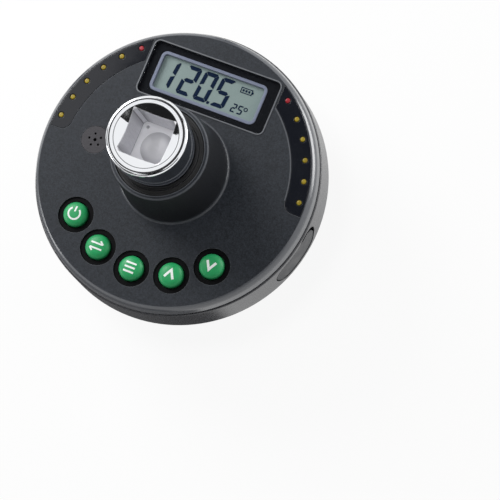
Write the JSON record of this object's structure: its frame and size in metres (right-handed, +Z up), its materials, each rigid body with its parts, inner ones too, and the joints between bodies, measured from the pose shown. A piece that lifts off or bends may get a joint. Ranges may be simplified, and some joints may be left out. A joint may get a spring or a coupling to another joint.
{
  "type": "torque angle gauge",
  "caption": "Digital torque and angle gauge: round housing with display, light windows and domed buttons on a spindle with a female square head above and a male square below.",
  "frame": {"origin": "centre of the flat tip of the male square, on the spindle's axis", "axes": "+Z up the spindle towards the female square, +Y from the spindle towards the display, +X to the display's right"},
  "size_m": [0.086, 0.086, 0.08],
  "materials": {
    "cover_plastic": "fine spark-eroded charcoal texture",
    "shell_plastic": "satin charcoal",
    "lid_plastic": "satin dark charcoal",
    "seal_rubber": "matte black",
    "chromed_steel": "polished chrome outside, satin inside the square",
    "zinc_steel": "zinc plated",
    "bright_steel": "bright",
    "spring_steel": "nickel plated",
    "gauge_film": "amber polyimide",
    "board_green": "solder resist",
    "chip_black": "moulded",
    "switch_grey": "moulded",
    "light_yellow": "diffused",
    "light_red": "diffused",
    "window_black": "smoked gloss",
    "lens_clear": "clear",
    "gasket_black": "black",
    "rim_blue": "pale blue grey",
    "display_glass": "grey-green liquid crystal",
    "connector_pink": "silicone",
    "grille_plastic": "smooth charcoal",
    "mat_rubber": "matte black",
    "button_green": "satin green silicone",
    "cell_jacket": "printed jacket",
    "black_screw": "black oxide",
    "plug_rubber": "satin charcoal"
  },
  "bodies": {
    "housing": {"top_cover": "cover_plastic", "base_shell": "shell_plastic", "housing_seal": "seal_rubber", "drive_spindle": "chromed_steel", "flange_screws": "zinc_steel", "neck_seal": "seal_rubber", "ball_spring": "spring_steel", "strain_gauges": "gauge_film", "gauge_flex": "gauge_film", "main_board": "board_green", "board_chips": "chip_black", "board_screws": "zinc_steel", "tact_switches": "switch_grey", "leds_yellow": "light_yellow", "leds_red": "light_red", "led_window_right": "window_black", "led_window_left": "window_black", "display_window": "lens_clear", "window_gasket": "gasket_black", "lcd_frame": "rim_blue", "lcd_panel": "display_glass", "lcd_connectors": "connector_pink", "buzzer": "chip_black", "buzzer_grille": "grille_plastic", "keypad_mat": "mat_rubber", "battery_front": "cell_jacket", "battery_rear": "cell_jacket", "contact_springs": "spring_steel", "contact_plates": "spring_steel", "housing_screws": "black_screw", "port_socket": "bright_steel"},
    "clear_button": {"button_clear": "button_green"},
    "units_button": {"button_units": "button_green"},
    "mode_button": {"button_mode": "button_green"},
    "up_button": {"button_up": "button_green"},
    "down_button": {"button_down": "button_green"},
    "drive_ball": {"retaining_ball": "bright_steel"},
    "battery_lid": {"battery_cover": "lid_plastic", "cover_screws": "black_screw"},
    "port_plug": {"port_cover": "plug_rubber"}
  },
  "joints": [
    {"name": "clear_press", "type": "slide", "parent": "housing", "child": "clear_button", "axis": [0, 0, -1], "range_m": [0, 0.0006], "stiffness_N_per_m": 1500},
    {"name": "units_press", "type": "slide", "parent": "housing", "child": "units_button", "axis": [0, 0, -1], "range_m": [0, 0.0006], "stiffness_N_per_m": 1500},
    {"name": "mode_press", "type": "slide", "parent": "housing", "child": "mode_button", "axis": [0, 0, -1], "range_m": [0, 0.0006], "stiffness_N_per_m": 1500},
    {"name": "up_press", "type": "slide", "parent": "housing", "child": "up_button", "axis": [0, 0, -1], "range_m": [0, 0.0006], "stiffness_N_per_m": 1500},
    {"name": "down_press", "type": "slide", "parent": "housing", "child": "down_button", "axis": [0, 0, -1], "range_m": [0, 0.0006], "stiffness_N_per_m": 1500},
    {"name": "ball_press", "type": "slide", "parent": "housing", "child": "drive_ball", "axis": [0, -1, 0], "range_m": [0, 0.0006], "stiffness_N_per_m": 4000},
    {"name": "lid_lift_off", "type": "slide", "parent": "housing", "child": "battery_lid", "axis": [0, 0, -1], "range_m": [0, 0.014]},
    {"name": "plug_pull", "type": "slide", "parent": "housing", "child": "port_plug", "axis": [0.9736, -0.2284, 0], "range_m": [0, 0.008]}
  ]
}
